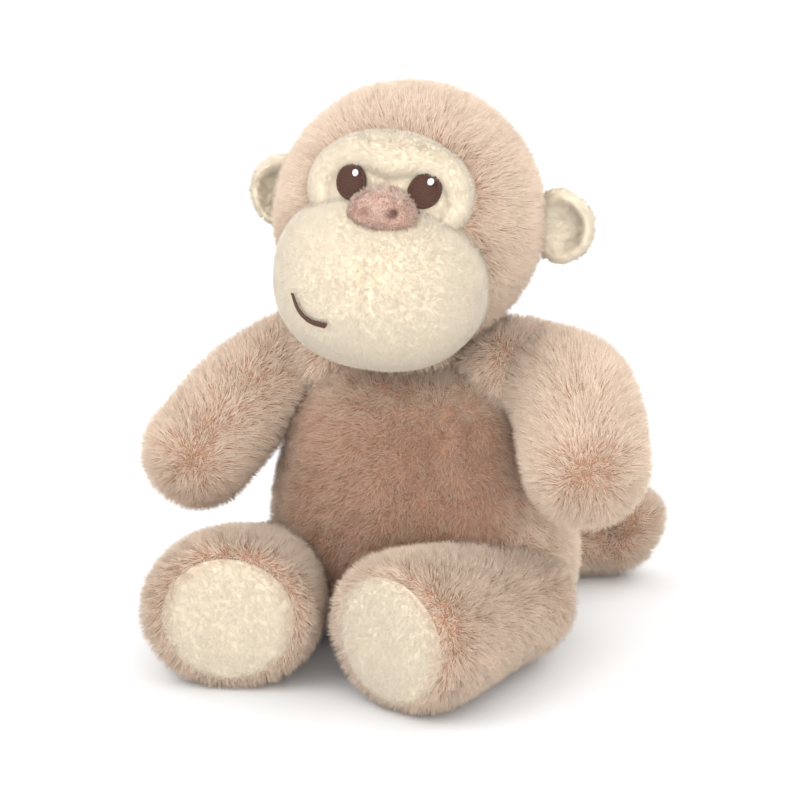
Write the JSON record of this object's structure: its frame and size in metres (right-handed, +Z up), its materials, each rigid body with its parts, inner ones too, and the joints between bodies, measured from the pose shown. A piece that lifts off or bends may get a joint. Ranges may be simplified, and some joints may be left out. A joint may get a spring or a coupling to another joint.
{
  "type": "stuffed monkey",
  "caption": "Seated soft stuffed monkey with a round head, cupped ears, large short-pile muzzle, droopy arms, legs held forward with padded soles, and a curled tail.",
  "frame": {"origin": "centre of the flat underside of the seat panel, on the surface the toy sits on", "axes": "+Z up; the face and feet point to -Y; +X is the toy's own left, on the right of a viewer in front of it"},
  "size_m": [0.1579, 0.1571, 0.1729],
  "materials": {
    "pelt": "matte",
    "short_pile": "matte",
    "nose_pile": "matte",
    "dark_thread": "satin",
    "white_thread": "satin",
    "seam_thread": "satin",
    "stuffing": "matte",
    "bag_cloth": "matte"
  },
  "bodies": {
    "torso": {"torso_front_panel": "pelt", "torso_back_left": "pelt", "torso_back_right": "pelt", "seat_panel": "pelt", "torso_stuffing": "stuffing", "pellet_bag": "bag_cloth", "closing_seam": "seam_thread"},
    "neck": {"neck_seam": "pelt"},
    "head": {"head_gusset": "pelt", "head_left_panel": "pelt", "head_right_panel": "pelt", "head_stuffing": "stuffing", "muzzle_left_panel": "short_pile", "muzzle_right_panel": "short_pile", "muzzle_stuffing": "stuffing", "nose": "nose_pile", "left_eye": "dark_thread", "left_eye_glint": "white_thread", "right_eye": "dark_thread", "right_eye_glint": "white_thread", "face_mask": "short_pile", "smile_stitch": "dark_thread"},
    "tail": {"tail_outer": "pelt", "tail_inner": "pelt", "tail_stuffing": "stuffing"},
    "left_ear": {"left_ear_front": "short_pile", "left_ear_back": "short_pile"},
    "left_shoulder": {"left_shoulder_seam": "pelt"},
    "left_arm": {"left_arm_front": "pelt", "left_arm_back": "pelt", "left_arm_stuffing": "stuffing"},
    "left_leg": {"left_leg_top": "pelt", "left_leg_underside": "pelt", "left_leg_stuffing": "stuffing", "left_foot_sole": "short_pile"},
    "right_ear": {"right_ear_front": "short_pile", "right_ear_back": "short_pile"},
    "right_shoulder": {"right_shoulder_seam": "pelt"},
    "right_arm": {"right_arm_front": "pelt", "right_arm_back": "pelt", "right_arm_stuffing": "stuffing"},
    "right_leg": {"right_leg_top": "pelt", "right_leg_underside": "pelt", "right_leg_stuffing": "stuffing", "right_foot_sole": "short_pile"}
  },
  "joints": [
    {"name": "neck_turn", "type": "hinge", "parent": "torso", "child": "neck", "pos_m": [-0.002, -0.003, 0.0914], "axis": [0, 0, 1], "range_deg": [-30, 30], "stiffness_Nm_per_rad": 0.5},
    {"name": "head_nod", "type": "hinge", "parent": "neck", "child": "head", "pos_m": [-0.002, -0.003, 0.0914], "axis": [1, 0, 0], "range_deg": [-8, 5], "stiffness_Nm_per_rad": 0.9},
    {"name": "left_arm_swing", "type": "hinge", "parent": "torso", "child": "left_shoulder", "pos_m": [0.04, 0, 0.085], "axis": [-1, 0, 0], "range_deg": [-20, 40], "stiffness_Nm_per_rad": 0.25},
    {"name": "left_arm_lift", "type": "hinge", "parent": "left_shoulder", "child": "left_arm", "pos_m": [0.04, 0, 0.085], "axis": [0, -1, 0], "range_deg": [-2, 38], "stiffness_Nm_per_rad": 0.25},
    {"name": "left_leg_raise", "type": "hinge", "parent": "torso", "child": "left_leg", "pos_m": [0.035, -0.018, 0.0205], "axis": [-1, 0, 0], "range_deg": [0, 25], "stiffness_Nm_per_rad": 0.3},
    {"name": "left_ear_fold", "type": "hinge", "parent": "head", "child": "left_ear", "pos_m": [0.03619, 0.01226, 0.12995], "axis": [0.0758, 0.012, 0.9971], "range_deg": [-15, 15], "stiffness_Nm_per_rad": 0.01},
    {"name": "right_arm_swing", "type": "hinge", "parent": "torso", "child": "right_shoulder", "pos_m": [-0.04, -0.001, 0.084], "axis": [-1, 0, 0], "range_deg": [-20, 40], "stiffness_Nm_per_rad": 0.25},
    {"name": "right_arm_lift", "type": "hinge", "parent": "right_shoulder", "child": "right_arm", "pos_m": [-0.04, -0.001, 0.084], "axis": [0, 1, 0], "range_deg": [-2, 38], "stiffness_Nm_per_rad": 0.25},
    {"name": "right_leg_raise", "type": "hinge", "parent": "torso", "child": "right_leg", "pos_m": [-0.035, -0.018, 0.0205], "axis": [-1, 0, 0], "range_deg": [0, 25], "stiffness_Nm_per_rad": 0.3},
    {"name": "right_ear_fold", "type": "hinge", "parent": "head", "child": "right_ear", "pos_m": [-0.04456, -0.00052, 0.13624], "axis": [-0.0758, -0.012, -0.9971], "range_deg": [-15, 15], "stiffness_Nm_per_rad": 0.01},
    {"name": "tail_wag", "type": "hinge", "parent": "torso", "child": "tail", "pos_m": [0.002, 0.0484, 0.018], "axis": [0, 0, 1], "range_deg": [-20, 30], "stiffness_Nm_per_rad": 0.05}
  ]
}
